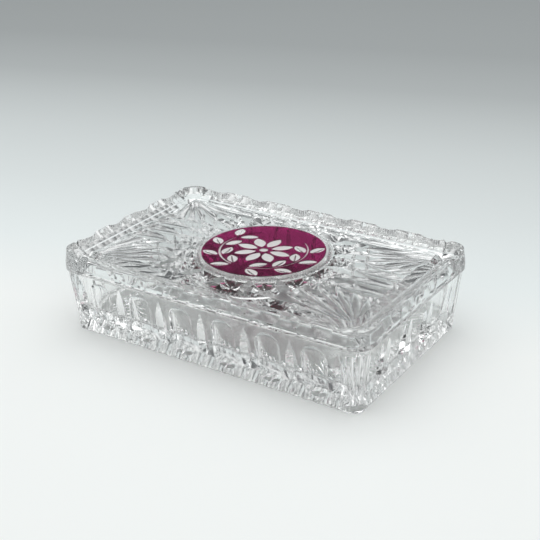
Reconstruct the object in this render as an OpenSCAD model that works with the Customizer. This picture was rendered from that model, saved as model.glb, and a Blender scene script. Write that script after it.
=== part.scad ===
// Cut crystal casket box: an oblong tray with a lift-off lid. The lid carries a round
// medallion with a thin ruby layer, and its motif is cut through the ruby to clear glass.
// Origin: middle of the base's underside. X runs along the long side, Z is up.

/* [Overall] */
// Length of the lid at its foot
box_l = 178; // [165:1:220]
// Width of the lid at its foot
box_w = 114; // [108:1:150]
// Radius of the lid's upright corners
corner_r = 10; // [9:0.5:14]

/* [Base] */
// Height of the base, from the table to its rim
base_h = 33.9; // [28:0.1:60]
// How far the base's rim lies inside the lid's edge
rim_inset = 1; // [0.5:0.1:2]
// How far the outer walls lean in, from the rim to the table
base_lean = 3.8; // [2:0.1:5]
// Thickness of the wall at the rim
wall_t = 6; // [5:0.1:8]
// Thickness of the floor
floor_t = 12; // [9:0.5:14]
// How far the inner walls lean in, from the rim to the floor
cavity_lean = 2.5; // [1:0.1:4]
// Radius of the cavity's upright corners at the rim
cavity_r = 7; // [5:0.5:10]
// Width of the flat foot that runs round the underside
foot_w = 5; // [4:0.5:8]
// Height of the underside's middle above the foot
foot_lift = 0.6; // [0.3:0.1:1.5]

/* [Cuts on the base's walls] */
// Spacing of the pointed cuts along the long walls
long_pitch = 25.1; // [22:0.1:30]
// Spacing of the pairs of pointed cuts along the short walls
short_pitch = 22; // [18:0.1:24]
// Distance from the rim down to the top of the wall cuts
cut_below_rim = 2.4; // [1.5:0.1:5]
// Distance from the table up to the foot of the wall cuts
cut_above_table = 4; // [2.5:0.1:6]
// Width of a pointed cut
flame_w = 6.4; // [3:0.1:7]
// Depth of a pointed cut
flame_d = 2; // [0.6:0.1:2.4]
// Distance between the two pointed cuts of a pair
pair_gap = 6.4; // [5:0.1:9]
// Width of an arch, the round-ended cut between pointed cuts
arch_w = 14; // [10:0.1:15]
// Depth of an arch
arch_d = 2.8; // [0.6:0.1:3]
// Radius of the three upright flutes at each corner
corner_flute_r = 3; // [2:0.1:4]
// Depth of the corner flutes
corner_flute_d = 0.8; // [0.4:0.1:1.2]

/* [Cuts under the base] */
// Radius of the plain round under the middle of the floor
under_clear_r = 44; // [30:1:48]
// Greatest length of a fan ray under the floor
under_ray_l = 32; // [25:1:46]
// Width of a fan ray under the floor
under_ray_w = 6.2; // [3:0.1:6.5]
// Depth of a fan ray under the floor
under_ray_d = 1.8; // [0.8:0.1:2.2]
// Spacing of the flutes that line the inside of the foot
border_pitch = 6.3; // [6:0.1:10]
// Length of these flutes
border_l = 13; // [8:0.5:16]
// Width of these flutes
border_w = 5.8; // [3:0.1:5.9]
// Depth of these flutes
border_d = 1.7; // [0.8:0.1:2.2]

/* [Lid] */
// Height of the plain band round the lid's foot
band_h = 3.8; // [3:0.1:6]
// Height of the cut bevel above the plain band
bevel_h = 7.3; // [6:0.1:10]
// How far the cut bevel leans in
bevel_in = 1.1; // [0.5:0.1:2]
// Width of the raised rim on top of the lid
rim_w = 4.6; // [4:0.1:8]
// Width of the slope from the raised rim down to the field
rim_slope_w = 1.6; // [1:0.1:4]
// Depth of the field below the rim
field_drop = 2.4; // [2:0.1:4]
// Depth of the hollow under the lid
hollow_h = 3; // [1:0.1:4]
// Width of the lip that drops inside the base
lip_w = 2.5; // [2:0.1:4]
// How far the lip drops below the base's rim
lip_drop = 2; // [1:0.1:4]
// Clearance between the lip and the base's wall
lip_gap = 0.6; // [0.3:0.1:1.5]

/* [Cuts on the lid] */
// Spacing of the wide scoops in the bevel along the long sides
scoop_long_pitch = 27; // [24:0.1:30]
// Spacing of the wide scoops in the bevel along the short sides
scoop_short_pitch = 22.8; // [20:0.1:26]
// Depth of the wide scoops in the bevel, at the top edge
scoop_d = 1.5; // [0.8:0.1:2]
// Depth of the wide scoops at their foot, above the plain band
scoop_foot_d = 0.3; // [0.1:0.1:0.6]
// Radius of the wide scoops
scoop_r = 15; // [12:0.5:22]
// Depth of the narrow notches between the scoops
notch_d = 1.1; // [0.5:0.1:1.5]
// Width of the narrow notches
notch_w = 4.4; // [2:0.1:6]
// Number of rays in each corner fan
fan_rays = 8; // [4:1:10]
// Angle from the long side to a fan's first ray
fan_from = 3; // [0:1:15]
// Angle from the long side to a fan's last ray
fan_to = 83; // [45:1:85]
// Greatest length of a fan ray
ray_l = 44; // [25:1:48]
// Width of a fan ray
ray_w = 6.2; // [2:0.1:7]
// Depth of a fan ray
ray_d = 1.6; // [0.5:0.1:2]
// Distance from the rim's slope to the fan's point
ray_margin = 2.4; // [1:0.1:6]
// Number of flutes between the fans on each short side
flute_count = 4; // [2:1:6]
// Spacing of these flutes
flute_pitch = 9.5; // [5:0.5:10]
// Length of these flutes
flute_l = 30; // [18:1:32]
// Width of these flutes
flute_w = 9.6; // [4:0.1:10]
// Depth of these flutes
flute_d = 1.3; // [0.5:0.1:2]

/* [Medallion] */
// Radius of the raised medallion
med_r = 34; // [26:0.5:35]
// Depth of the medallion's top below the rim
med_drop = 1.5; // [1:0.1:1.9]
// Width of the bevel round the medallion's top edge
med_bevel = 2.2; // [0.5:0.1:2.5]
// Height of this bevel
med_bevel_h = 1.4; // [0.5:0.1:2]
// Width of the channel round the medallion
channel_w = 1; // [0.5:0.1:1]
// Depth of this channel below the field
channel_d = 2.7; // [1.5:0.1:3]
// Number of stars in the ring round the medallion
star_count = 16; // [10:2:20]
// Width of the star ring
star_ring_w = 12.4; // [9:0.1:14]
// Gap between the medallion and the star ring
star_gap = 1.2; // [1.1:0.1:2]
// Depth of the cuts in a star
star_d = 2.5; // [0.8:0.1:2.8]
// Width of the cuts in a star
star_w = 7; // [3:0.1:8]

/* [Ruby layer] */
// Distance from the medallion's bevel to the edge of the ruby
ruby_margin = 0.1; // [0.1:0.1:2]
// Thickness of the ruby layer
ruby_t = 0.4; // [0.3:0.05:0.8]
// Number of petals on the middle flower
petal_count = 8; // [5:1:9]
// Length of a petal
petal_l = 12; // [7:0.5:12]
// Width of a petal
petal_w = 6; // [3:0.1:6.4]
// Radius of the flower's clear eye
eye_r = 2.4; // [1.5:0.1:3]
// Radius of the two leaf sprays' stems, from the medallion's middle
spray_r = 22.5; // [21:0.5:23]
// Number of leaf pairs on each spray
leaf_pairs = 4; // [3:1:5]
// Length of a leaf
leaf_l = 12; // [7:0.5:12.5]
// Width of a leaf
leaf_w = 5.4; // [2.5:0.1:5.8]
// Width of a stem
stem_w = 0.9; // [0.5:0.1:1.5]

/* [Hidden] */
$fn = 64;
eps = 0.01; // overshoot that keeps a cut's end off a face
past = 5; // how far a cutting tool reaches past the glass

// Base
rim_l = box_l - 2 * rim_inset;
rim_width = box_w - 2 * rim_inset;
rim_r = corner_r - rim_inset;
base_angle = atan(base_lean / base_h); // lean of the outer walls
cavity_h = base_h - floor_t;
cavity_l = rim_l - 2 * wall_t;
cavity_w = rim_width - 2 * wall_t;
foot_l = rim_l - 2 * base_lean;
foot_width = rim_width - 2 * base_lean;
foot_r = rim_r - base_lean;
cut_h = base_h - cut_below_rim - cut_above_table;
cut_mid = cut_above_table + cut_h / 2;
long_cuts = floor((rim_l / 2 - rim_r) / long_pitch); // pointed cuts each side of the middle
short_cuts = floor((rim_width / 2 - rim_r) / short_pitch + 0.5); // pairs each side of it

// Lid
lid_z = base_h; // the lid's foot stands on the base's rim
bevel_z = lid_z + band_h;
top_z = bevel_z + bevel_h;
field_z = top_z - field_drop;
hollow_z = lid_z + hollow_h;
bevel_angle = atan(bevel_in / bevel_h);
top_l = box_l - 2 * bevel_in;
top_w = box_w - 2 * bevel_in;
top_r = corner_r - bevel_in;
field_l = top_l - 2 * (rim_w + rim_slope_w);
field_w = top_w - 2 * (rim_w + rim_slope_w);
field_r = 2.4;
lip_l = cavity_l - 2 * lip_gap;
lip_width = cavity_w - 2 * lip_gap;
lip_r = cavity_r - lip_gap;
hollow_l = lip_l - 2 * lip_w;
hollow_w = lip_width - 2 * lip_w;
hollow_r = lip_r - lip_w;
lip_lean = cavity_lean * lip_drop / cavity_h; // the lip leans as the cavity's wall does
scoop_angle = atan((scoop_d - scoop_foot_d) / bevel_h);

// Star ring and medallion
med_z = top_z - med_drop;
star_in = med_r + star_gap;
star_out = star_in + star_ring_w;
star_mid = (star_in + star_out) / 2;
ruby_r = med_r - med_bevel - ruby_margin;
ruby_z = med_z - ruby_t;

// Fans
fan_corner = [field_l / 2 - ray_margin, field_w / 2 - ray_margin];
under_corner = [
    foot_l / 2 - foot_w - ray_margin,
    foot_width / 2 - foot_w - ray_margin,
];
border_long = floor((foot_l / 2 - foot_w - border_l / 2) / border_pitch) * 2;
border_short = floor((foot_width / 2 - foot_w - border_l / 2) / border_pitch) * 2;

// A block with rounded upright corners whose four walls lean in alike from top to foot
module leaning_block(l, w, r, lean, h) {
    run_l = l - 2 * r;
    run_w = w - 2 * r;
    for (x = [-1, 1], y = [-1, 1])
        translate([x * run_l / 2, y * run_w / 2, 0])
            cylinder(h = h, r1 = r - lean, r2 = r);
    rotate([90, 0, 90])
        linear_extrude(run_l, center = true)
            leaning_section(w, lean, h);
    rotate([90, 0, 0])
        linear_extrude(run_w, center = true)
            leaning_section(l, lean, h);
}

// The cross section of a leaning block
module leaning_section(width, lean, h) {
    polygon([
        [-width / 2 + lean, 0], [width / 2 - lean, 0],
        [width / 2, h], [-width / 2, h],
    ]);
}

// A V-cut with two pointed ends, along X, made by a wheel that dips into the glass at z = 0
module lens_cut(length, width, depth) {
    stations = 6;
    share = [for (i = [1:stations - 1]) 1 - pow(2 * i / stations - 1, 2)];
    rings = len(share);
    points = [
        [-length / 2, 0, 0],
        for (i = [0:rings - 1])
            let (x = length * ((i + 1) / stations - 0.5), s = share[i])
            each [[x, -s * width / 2, 0], [x, 0, -s * depth], [x, s * width / 2, 0], [x, 0, s * depth]],
        [length / 2, 0, 0],
    ];
    last = 4 * rings + 1;
    faces = [
        for (k = [0:3]) [0, 1 + k, 1 + (k + 1) % 4],
        for (i = [0:rings - 2], k = [0:3])
            let (a = 1 + 4 * i + k, b = 1 + 4 * i + (k + 1) % 4)
            each [[a, a + 4, b], [b, a + 4, b + 4]],
        for (k = [0:3]) [last, last - 4 + (k + 1) % 4, last - 4 + k],
    ];
    polyhedron(points, faces);
}

// A round-ended cut in a face that lies in the plane z = 0, along X
module arch_cut(length, width, depth) {
    tool_r = (pow(width / 2, 2) + pow(depth, 2)) / (2 * depth);
    run = length - width;
    translate([0, 0, tool_r - depth]) {
        rotate([0, 90, 0])
            cylinder(h = run, r = tool_r, center = true, $fn = 96);
        for (end = [-1, 1])
            translate([end * run / 2, 0, 0])
                sphere(r = tool_r, $fn = 96);
    }
}

// Puts a tool made for z = 0 on the base's wall: its X runs up the wall, its Z points out
module on_wall(side, along, height, half) {
    rotate([0, 0, side])
        translate([along, -half + (base_h - height) * tan(base_angle), height])
            rotate([90 + base_angle, 0, 0])
                rotate([0, 0, 90])
                    children();
}

// The cuts on one long wall
module long_wall_cuts(side) {
    for (i = [-long_cuts:long_cuts])
        on_wall(side, i * long_pitch, cut_mid, rim_width / 2)
            lens_cut(cut_h, flame_w, flame_d);
    for (i = [-long_cuts:long_cuts - 1])
        on_wall(side, (i + 0.5) * long_pitch, cut_mid, rim_width / 2)
            arch_cut(cut_h, arch_w, arch_d);
}

// The cuts on one short wall
module short_wall_cuts(side) {
    for (i = [-short_cuts:short_cuts - 1], half = [-1, 1])
        on_wall(side, (i + 0.5) * short_pitch + half * pair_gap / 2, cut_mid, rim_l / 2)
            lens_cut(cut_h, flame_w, flame_d);
}

// Three upright flutes round each corner of the base
module corner_flutes() {
    for (x = [0, 1], y = [0, 1])
        mirror([x, 0, 0])
            mirror([0, y, 0])
                translate([rim_l / 2 - rim_r, rim_width / 2 - rim_r, 0])
                    for (turn = [15, 45, 75])
                        rotate([0, 0, turn])
                            translate([foot_r, 0, 0])
                                rotate([0, base_angle, 0])
                                    translate([corner_flute_r - corner_flute_d, 0, cut_above_table])
                                        cylinder(h = cut_h, r = corner_flute_r);
}

// Flutes side by side under the floor along one side, from the foot's inner edge inwards
module border_flutes(side, off, count) {
    rotate([0, 0, side])
        for (i = [0:count - 1])
            translate([
                (i - (count - 1) / 2) * border_pitch,
                -off + foot_w + border_l / 2,
                foot_lift,
            ])
                rotate([0, 0, 90])
                    lens_cut(border_l, border_w, border_d);
}

// Length of a ray that leaves a fan's point at an angle and stops short of a circle of
// radius inner_r round the middle, or is as long as allowed
function ray_length(corner, angle, inner_r, longest) =
    let (
        turn = angle - atan2(corner[1], corner[0]),
        aside = norm(corner) * sin(abs(turn)),
        along = norm(corner) * cos(turn)
    )
    aside < inner_r
        ? min(longest, along - sqrt(pow(inner_r, 2) - pow(aside, 2)))
        : longest * inner_r / aside;

// Four fans of rays, with their points at the corners (x, y), cut down from z = 0
module corner_fans(corner, inner_r, longest, width, depth) {
    for (x = [0, 1], y = [0, 1])
        mirror([x, 0, 0])
            mirror([0, y, 0])
                translate([-corner[0], -corner[1], 0])
                    for (i = [0:fan_rays - 1])
                        let (
                            angle = fan_from + i * (fan_to - fan_from) / (fan_rays - 1),
                            length = ray_length(corner, angle, inner_r, longest)
                        )
                            rotate([0, 0, angle])
                                translate([length / 2, 0, 0])
                                    lens_cut(length, width, depth);
}

// Flutes that lie side by side between two fans on each short side
module side_flutes() {
    for (end = [-1, 1], i = [0:flute_count - 1])
        translate([
            end * (fan_corner[0] - flute_l / 2),
            (i - (flute_count - 1) / 2) * flute_pitch,
            0,
        ])
            lens_cut(flute_l, flute_w, flute_d);
}

// Ring of stars: four V-cuts cross in the middle of each
module star_ring() {
    longer = 4; // how much longer a star's crossing cuts are than its cut towards the middle
    for (i = [0:star_count - 1], turn = [-48, 0, 48, 90])
        rotate([0, 0, (i + 0.5) * 360 / star_count])
            translate([star_mid, 0, 0])
                rotate([0, 0, turn])
                    lens_cut(turn == 0 ? star_ring_w : star_ring_w + longer, star_w, star_d);
}

// The channel that sets the medallion off from the star ring
module channel() {
    flat = 0.2; // width of the channel's flat foot
    slope = (channel_w - flat) / channel_d;
    rotate_extrude($fn = 96)
        polygon([
            [med_r - 1, -channel_d], [med_r + flat, -channel_d],
            [med_r + channel_w + slope, 1], [med_r - 1, 1],
        ]);
}

// Wide scoops and narrow notches in the lid's bevel: the side stands off from the middle by
// off, and half its length is half
module bevel_cuts(side, off, half, pitch) {
    count = floor((half - corner_r) / pitch + 0.2);
    rotate([0, 0, side]) {
        for (i = [-count:count - 1])
            translate([(i + 0.5) * pitch, -off, bevel_z])
                rotate([-scoop_angle - bevel_angle, 0, 0])
                    translate([0, scoop_foot_d - scoop_r, -past])
                        cylinder(h = bevel_h + 3 * past, r = scoop_r, $fn = 96);
        for (i = [-count + 1:count - 1])
            translate([i * pitch, -off + bevel_in / 2, bevel_z + bevel_h / 2])
                rotate([90 - bevel_angle, 0, 0])
                    rotate([0, 0, 90])
                        lens_cut(bevel_h - 1, notch_w, notch_d);
    }
}

// The tray, with its thick floor and leaning cut walls
module base() {
    color([0.88, 0.91, 0.91, 0.45])
        difference() {
            leaning_block(rim_l, rim_width, rim_r, base_lean, base_h);
            translate([0, 0, floor_t])
                leaning_block(
                    cavity_l + 2 * eps * cavity_lean / cavity_h,
                    cavity_w + 2 * eps * cavity_lean / cavity_h,
                    cavity_r + eps * cavity_lean / cavity_h,
                    cavity_lean, cavity_h + eps
                );
            translate([0, 0, -past])
                leaning_block(
                    foot_l - 2 * foot_w, foot_width - 2 * foot_w, foot_r, 0, past + foot_lift
                );
            for (side = [0, 180]) long_wall_cuts(side);
            for (side = [90, 270]) short_wall_cuts(side);
            corner_flutes();
            for (side = [0, 180]) border_flutes(side, foot_width / 2, border_long);
            for (side = [90, 270]) border_flutes(side, foot_l / 2, border_short);
            translate([0, 0, foot_lift])
                mirror([0, 0, 1])
                    corner_fans(
                        under_corner, under_clear_r,
                        under_ray_l, under_ray_w, under_ray_d
                    );
        }
}

// The lid: plain band, cut bevel, raised rim, cut field, medallion and locating lip
module lid() {
    color([0.92, 0.94, 0.94, 0.45])
        difference() {
            union() {
                difference() {
                    union() {
                        translate([0, 0, lid_z])
                            leaning_block(box_l, box_w, corner_r, 0, band_h);
                        translate([0, 0, top_z])
                            mirror([0, 0, 1])
                                leaning_block(box_l, box_w, corner_r, bevel_in, bevel_h);
                    }
                    translate([0, 0, field_z])
                        leaning_block(
                            field_l + 2 * rim_slope_w, field_w + 2 * rim_slope_w,
                            field_r + rim_slope_w, rim_slope_w, field_drop + eps
                        );
                    for (side = [0, 180])
                        bevel_cuts(side, box_w / 2, box_l / 2, scoop_long_pitch);
                    for (side = [90, 270])
                        bevel_cuts(side, box_l / 2, box_w / 2, scoop_short_pitch);
                    translate([0, 0, field_z]) {
                        corner_fans(fan_corner, star_out + star_gap, ray_l, ray_w, ray_d);
                        side_flutes();
                        star_ring();
                        channel();
                    }
                }
                medallion();
                translate([0, 0, lid_z - lip_drop])
                    leaning_block(lip_l, lip_width, lip_r, lip_lean, lip_drop + eps);
            }
            translate([0, 0, lid_z - lip_drop - past])
                leaning_block(hollow_l, hollow_w, hollow_r, 0, past + lip_drop + hollow_h);
        }
}

// The raised disc in the middle of the lid, without its ruby
module medallion() {
    base_z = hollow_z + eps;
    translate([0, 0, base_z])
        cylinder(h = ruby_z - med_bevel_h - base_z, r = med_r, $fn = 96);
    translate([0, 0, ruby_z - med_bevel_h])
        cylinder(h = med_bevel_h, r1 = med_r, r2 = med_r - med_bevel, $fn = 96);
}

// A pointed leaf or petal along X, from x = 0
module pointed_leaf(length, width) {
    arc_r = (pow(length / 2, 2) + pow(width / 2, 2)) / width;
    intersection_for (side = [-1, 1])
        translate([length / 2, side * (arc_r - width / 2)])
            circle(r = arc_r, $fn = 96);
}

// The middle flower: pointed petals round a clear eye
module flower() {
    circle(r = eye_r);
    for (i = [0:petal_count - 1])
        rotate(i * 360 / petal_count)
            translate([eye_r + stem_w, 0])
                pointed_leaf(petal_l, petal_w);
}

// One leaf spray, which climbs round the right of the flower from the foot of the medallion
module spray() {
    from = -78;
    climb = 132 / leaf_pairs;
    splay = 38; // angle of a leaf from its stem
    side_leaf = 0.84; // length of a side leaf as a share of the tip leaf's
    for (i = [0:leaf_pairs - 1], side = [-1, 1])
        rotate(from + i * climb)
            translate([spray_r + side * stem_w, 0])
                rotate(90 - side * splay)
                    pointed_leaf(leaf_l * side_leaf, leaf_w);
    rotate(from + leaf_pairs * climb)
        translate([spray_r, 0])
            rotate(95)
                pointed_leaf(leaf_l, leaf_w);
    intersection() {
        difference() {
            circle(r = spray_r + stem_w / 2, $fn = 96);
            circle(r = spray_r - stem_w / 2, $fn = 96);
        }
        polygon([
            [0, 0],
            for (a = [from:climb / 2:from + leaf_pairs * climb]) 2 * spray_r * [cos(a), sin(a)],
        ]);
    }
}

// The ruby skin on the medallion, with the flower and two sprays cut through it
module ruby_layer() {
    color([0.53, 0.07, 0.33, 0.9])
        translate([0, 0, ruby_z])
            linear_extrude(ruby_t)
                difference() {
                    circle(r = ruby_r, $fn = 96);
                    flower();
                    for (side = [0, 1]) mirror([side, 0]) spray();
                }
}

base();
lid();
ruby_layer();
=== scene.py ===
from math import asin, atan, cos, pi, radians, sin, tan

import bmesh
import bpy
from mathutils import Matrix, Vector


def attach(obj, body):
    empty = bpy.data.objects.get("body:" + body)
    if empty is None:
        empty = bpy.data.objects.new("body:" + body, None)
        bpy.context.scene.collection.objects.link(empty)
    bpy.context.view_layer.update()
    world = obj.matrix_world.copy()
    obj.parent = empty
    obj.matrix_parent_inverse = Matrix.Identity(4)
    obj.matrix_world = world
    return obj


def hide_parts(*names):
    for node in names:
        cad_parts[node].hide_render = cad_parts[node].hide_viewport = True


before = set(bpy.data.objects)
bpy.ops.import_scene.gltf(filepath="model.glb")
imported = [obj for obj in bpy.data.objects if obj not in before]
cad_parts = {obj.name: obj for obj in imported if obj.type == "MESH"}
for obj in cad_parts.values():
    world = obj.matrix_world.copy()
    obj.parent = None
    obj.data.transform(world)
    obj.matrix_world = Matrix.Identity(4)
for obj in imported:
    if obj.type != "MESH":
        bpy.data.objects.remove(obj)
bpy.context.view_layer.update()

MM = 0.001

# ---------------------------------------------------------------------------
# Sizes in millimetres. The main ones are the part's own. Where the dressed glass differs, a
# comment gives the source's value or says that the source doesn't have the form. Softened
# edges, bends, rounded sections and the engraving in the glass aren't in it either.
# ---------------------------------------------------------------------------
BOX_L = 178.0
BOX_W = 114.0
CORNER_R = 10.0

TRAY_H = 33.9
RIM_INSET = 1.0
TRAY_LEAN = 3.8
WALL_T = 6.0
FLOOR_T = 12.0
CAVITY_LEAN = 2.5
CAVITY_R = 7.0
FOOT_W = 5.0
FOOT_LIFT = 0.6

BAND_H = 3.8
BEVEL_H = 7.3
BEVEL_IN = 1.1
RIM_W = 4.6
RIM_SLOPE_W = 1.6
FIELD_DROP = 2.4
FIELD_R = 2.4
HOLLOW_H = 3.0
HOLLOW_LEAN = 2.0  # the hollow's wall is upright in the source
LIP_W = 2.5
LIP_DROP = 2.0
LIP_GAP = 0.6

BEVEL_Z = TRAY_H + BAND_H
TOP_Z = BEVEL_Z + BEVEL_H
FIELD_Z = TOP_Z - FIELD_DROP
HOLLOW_Z = TRAY_H + HOLLOW_H
LIP_Z = TRAY_H - LIP_DROP
FIELD_INSET = BEVEL_IN + RIM_W + RIM_SLOPE_W
FOOT_INSET = RIM_INSET + TRAY_LEAN
UNDER_INSET = FOOT_INSET + FOOT_W
BEVEL_ANGLE = atan(BEVEL_IN / BEVEL_H)
TRAY_ANGLE = atan(TRAY_LEAN / TRAY_H)

MED_R = 34.0
MED_DROP = 1.5
MED_ROLL = 2.2  # a straight bevel of this width in the source
MED_ROLL_H = 1.4
MED_Z = TOP_Z - MED_DROP
RUBY_T = 0.4
RUBY_MARGIN = 0.1
RUBY_Z = MED_Z - RUBY_T
RUBY_R = MED_R - MED_ROLL - RUBY_MARGIN
RUBY_EDGE = 0.08  # the tiny bevel on the ruby's top edge

SEAM_GAP = 0.05  # air film between the tray's rim and the lid's foot
RUBY_SINK = 0.04  # how far the ruby skin reaches into the glass under it
EDGE_R = 0.5  # softened edges of the polished glass
FLOOR_RUN = 8.0  # how far the cavity's and the hollow's flats are drawn inwards
FIELD_RUN = 6.0  # the same for the field

# Cuts in the tray's walls
FLAMES = 7
FLAME_PITCH = 25.1
FLAME_W = 6.4
FLAME_D = 2.0
ARCH_W = 14.0
ARCH_D = 2.5  # 2.8 in the source, where an arch is part of a round bar
PAIRS = 4
PAIR_PITCH = 22.0
PAIR_GAP = 6.4
WALL_CUT_FROM = 4.0
WALL_CUT_TO = TRAY_H - 2.4
WALL_CUT_H = WALL_CUT_TO - WALL_CUT_FROM
CORNER_FLUTES = 3
CORNER_FLUTE_R = 3.0
CORNER_FLUTE_D = 0.8

# Two upright notches that set off a knob at each corner's foot; not in the source
KNOB_H = 12.0
KNOB_NOTCH_W = 3.6
KNOB_NOTCH_D = 1.4
KNOB_NOTCH_OVER = 4.0  # how much longer than the knob a notch is
KNOB_NOTCH_OUT = 0.4
KNOB_NOTCH_SINK = 1.0

# Fans of rays under the floor
UNDER_CLEAR_R = 44.0
UNDER_RAY_L = 32.0
UNDER_RAY_W = 6.2
UNDER_RAY_D = 1.8

# Cuts that cross at right angles inside the foot; the source has plain flutes here, with a
# pitch of 6.3, 13 long, 5.8 wide and 1.7 deep
BORDER_LONG = 31
BORDER_SHORT = 17
BORDER_PITCH = 4.5
BORDER_BAND = 13.0
BORDER_L = 18.0
BORDER_W = 3.3
BORDER_D = 1.3
BORDER_SLANTS = (radians(45), radians(135))

# Shallow hollows that leave beads along the foot's edge; not in the source
BEADS_LONG = 23
BEADS_SHORT = 13
BEAD_PITCH = 6.6
BEAD_W = 6.2
BEAD_D = 0.6
BEAD_TILT = radians(40)
BEAD_REACH = 9.0

# Cuts in the lid's edge
SCOOPS_LONG = 6
SCOOPS_SHORT = 4
SCOOP_LONG_PITCH = 27.0
SCOOP_SHORT_PITCH = 22.8
SCOOP_D = 1.5
SCOOP_FOOT_D = 0.3
SCOOP_R = 15.0
SCOOP_BELOW = 5.0
SCOOP_ABOVE = 10.0
NOTCH_W = 5.2  # 4.4 in the source
NOTCH_D = 1.5  # 1.1 in the source

# Thumb cuts on the lid's outer top edge; not in the source
THUMBS_LONG = 17
THUMBS_SHORT = 10
THUMB_PITCH = 9.0
THUMB_W = 7.0
THUMB_D = 0.25
THUMB_TILT = radians(-32)
THUMB_REACH = 12.0

# Cuts in the lid's field
FAN_RAYS = 8
FAN_FROM = radians(3)
FAN_TO = radians(83)
RAY_UNIT = 10.0  # length of the tool that a fan stretches to each ray's own length
RAY_L = 44.0
RAY_W = 6.2
RAY_D = 1.6
RAY_BEND = 0.8
RAY_PEAK = 0.62
RAY_MARGIN = 2.4
SIDE_FLUTES = 4
SIDE_FLUTE_PITCH = 9.5
SIDE_FLUTE_W = 9.6
SIDE_FLUTE_D = 1.3
SIDE_FLUTE_L = 30.0
SIDE_FLUTE_BEND = 1.0

# Star ring and channel round the medallion
STARS = 16
STAR_RING_W = 13.0  # 12.4 in the source
STAR_GAP = 0.6  # 1.2 in the source
STAR_W = 7.0
STAR_D = 2.5
STAR_LONGER = 4.0  # added to a star's slanting cuts; in the source to its crosswise cut too
STAR_SLANT = 48  # degrees
STAR_MID = MED_R + STAR_GAP + STAR_RING_W / 2
STAR_OUT = STAR_MID + STAR_RING_W / 2
COLLAR_L = 8.0  # the collar of points round the stars is not in the source
COLLAR_W = 4.4
COLLAR_D = 1.3
COLLAR_OVERLAP = 2.5
CHANNEL_D = 2.7
CHANNEL_W = 1.4  # measured 1 mm above the field

# Nicks that make a fine rope of the medallion's roll; not in the source
ROPE_NICKS = 80
NICK_L = 4.0
NICK_W = 1.5
NICK_D = 0.45
NICK_IN = 0.3
NICK_SINK = 1.2
NICK_SLANT = radians(25)

# The motif, which the source cuts through the ruby only; its depths, ribs and veins here are
# those of the engraving in the glass
PETALS = 8
PETAL_L = 12.0
PETAL_W = 6.0
PETAL_D = 0.7
PETAL_RIB = 0.5
EYE_R = 2.4
EYE_D = 0.3
EYE_STEPS = 48
SPRAY_R = 22.5
SPRAY_FROM = radians(-78)
LEAF_PAIRS = 4
LEAF_CLIMB = radians(132 / 4)
LEAF_SPLAY = radians(38)
LEAF_L = 12.0
SIDE_LEAF_L = LEAF_L * 0.84
LEAF_W = 5.4
LEAF_D = 0.6
LEAF_RIB = 0.6
VEIN_L = LEAF_L * 0.8
VEIN_W = 1.1
VEIN_D = 0.9
VEIN_FROM = 0.3
VEIN_SINK = 0.35
STEM_W = 1.3  # 0.9 in the source
STEM_D = 0.25
MOTIF_ABOVE = 2.0  # how far an upright tool of the motif rises above the glass
PLUG_PAST = 1.0  # how far a plug runs past the ruby skin on both faces


# ---------------------------------------------------------------------------
# Mesh helpers
# ---------------------------------------------------------------------------
def rounded_rectangle(inset, radius, z, steps=24):
    """Outline of the box, set in from the lid's edge by inset, with rounded corners."""
    half_x = BOX_L / 2 - inset
    half_y = BOX_W / 2 - inset
    outline = []
    for quarter, (sx, sy) in enumerate([(1, 1), (-1, 1), (-1, -1), (1, -1)]):
        for i in range(steps + 1):
            turn = (quarter + i / steps) * pi / 2
            x = sx * (half_x - radius) + radius * cos(turn)
            y = sy * (half_y - radius) + radius * sin(turn)
            outline.append((x, y, z))
    return outline


def circle_outline(radius, z, steps=192):
    """Points of a level circle."""
    return [(radius * cos(2 * pi * i / steps), radius * sin(2 * pi * i / steps), z)
            for i in range(steps)]


def softened(profile, radius, steps=9):
    """A profile of (inset, height) points with each corner turned into a small arc.

    A point may carry its own arc radius as a third number.
    """
    result = []
    for i, point in enumerate(profile):
        here = Vector(point[:2])
        size = point[2] if len(point) > 2 else radius
        if i in (0, len(profile) - 1) or size == 0:
            result.append(here)
            continue
        back = (Vector(profile[i - 1][:2]) - here).normalized()
        ahead = (Vector(profile[i + 1][:2]) - here).normalized()
        half = back.angle(ahead) / 2
        reach = size / tan(half)
        start = here + back * reach
        end = here + ahead * reach
        centre = here + (back + ahead).normalized() * (size / sin(half))
        swing = pi - 2 * half
        count = max(2, round(steps * swing / (pi / 2)))
        from_centre = start - centre
        to_centre = end - centre
        for k in range(count + 1):
            share = k / count
            mixed = (from_centre * sin((1 - share) * swing) + to_centre * sin(share * swing))
            result.append(centre + mixed / sin(swing))
    return result


def loft(rings):
    """A closed solid through outlines of equal point count, with a flat face at both ends."""
    mesh = bmesh.new()
    rows = [[mesh.verts.new(Vector(p) * MM) for p in ring] for ring in rings]
    count = len(rows[0])
    for low, high in zip(rows, rows[1:]):
        for i in range(count):
            k = (i + 1) % count
            mesh.faces.new((low[i], low[k], high[k], high[i]))
    mesh.faces.new(rows[0][::-1])
    mesh.faces.new(rows[-1])
    return mesh


def as_object(name, mesh, finish=None):
    """Turns a bmesh into an object with its faces outwards."""
    bmesh.ops.remove_doubles(mesh, verts=mesh.verts, dist=1e-7)
    bmesh.ops.recalc_face_normals(mesh, faces=mesh.faces)
    data = bpy.data.meshes.new(name)
    mesh.to_mesh(data)
    mesh.free()
    if finish:
        data.materials.append(finish)
    piece = bpy.data.objects.new(name, data)
    bpy.context.scene.collection.objects.link(piece)
    return piece


def shift(x=0.0, y=0.0, z=0.0):
    """A move in millimetres."""
    return Matrix.Translation(Vector((x, y, z)) * MM)


def spin(angle, axis):
    """A turn about an axis through the origin."""
    return Matrix.Rotation(angle, 4, axis)


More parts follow.
